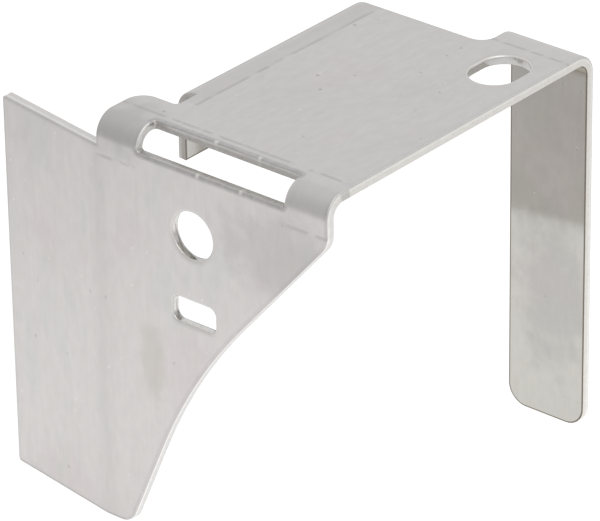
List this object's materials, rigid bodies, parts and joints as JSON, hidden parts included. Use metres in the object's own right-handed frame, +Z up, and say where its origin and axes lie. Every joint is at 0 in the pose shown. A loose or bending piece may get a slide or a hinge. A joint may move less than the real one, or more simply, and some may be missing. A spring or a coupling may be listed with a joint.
{
  "type": "clamp plate",
  "caption": "Bent sheet-metal clamp plate: a flat top with a side flange, a slanted front plate with a swept-back ear, and a narrow leg that hooks over a rail or panel.",
  "frame": {"origin": "centre of the round hole in the front plate, halfway through the sheet", "axes": "+Z up, square to the top plate; +X from the front plate towards the leg; +Y from the right-hand edge towards the swept-back ear"},
  "size_m": [0.121, 0.1273, 0.1312],
  "materials": {
    "bare_steel": "satin mill finish with faint cloudy stains and scratches"
  },
  "bodies": {
    "root": {"clamp_plate": "bare_steel"}
  },
  "joints": []
}
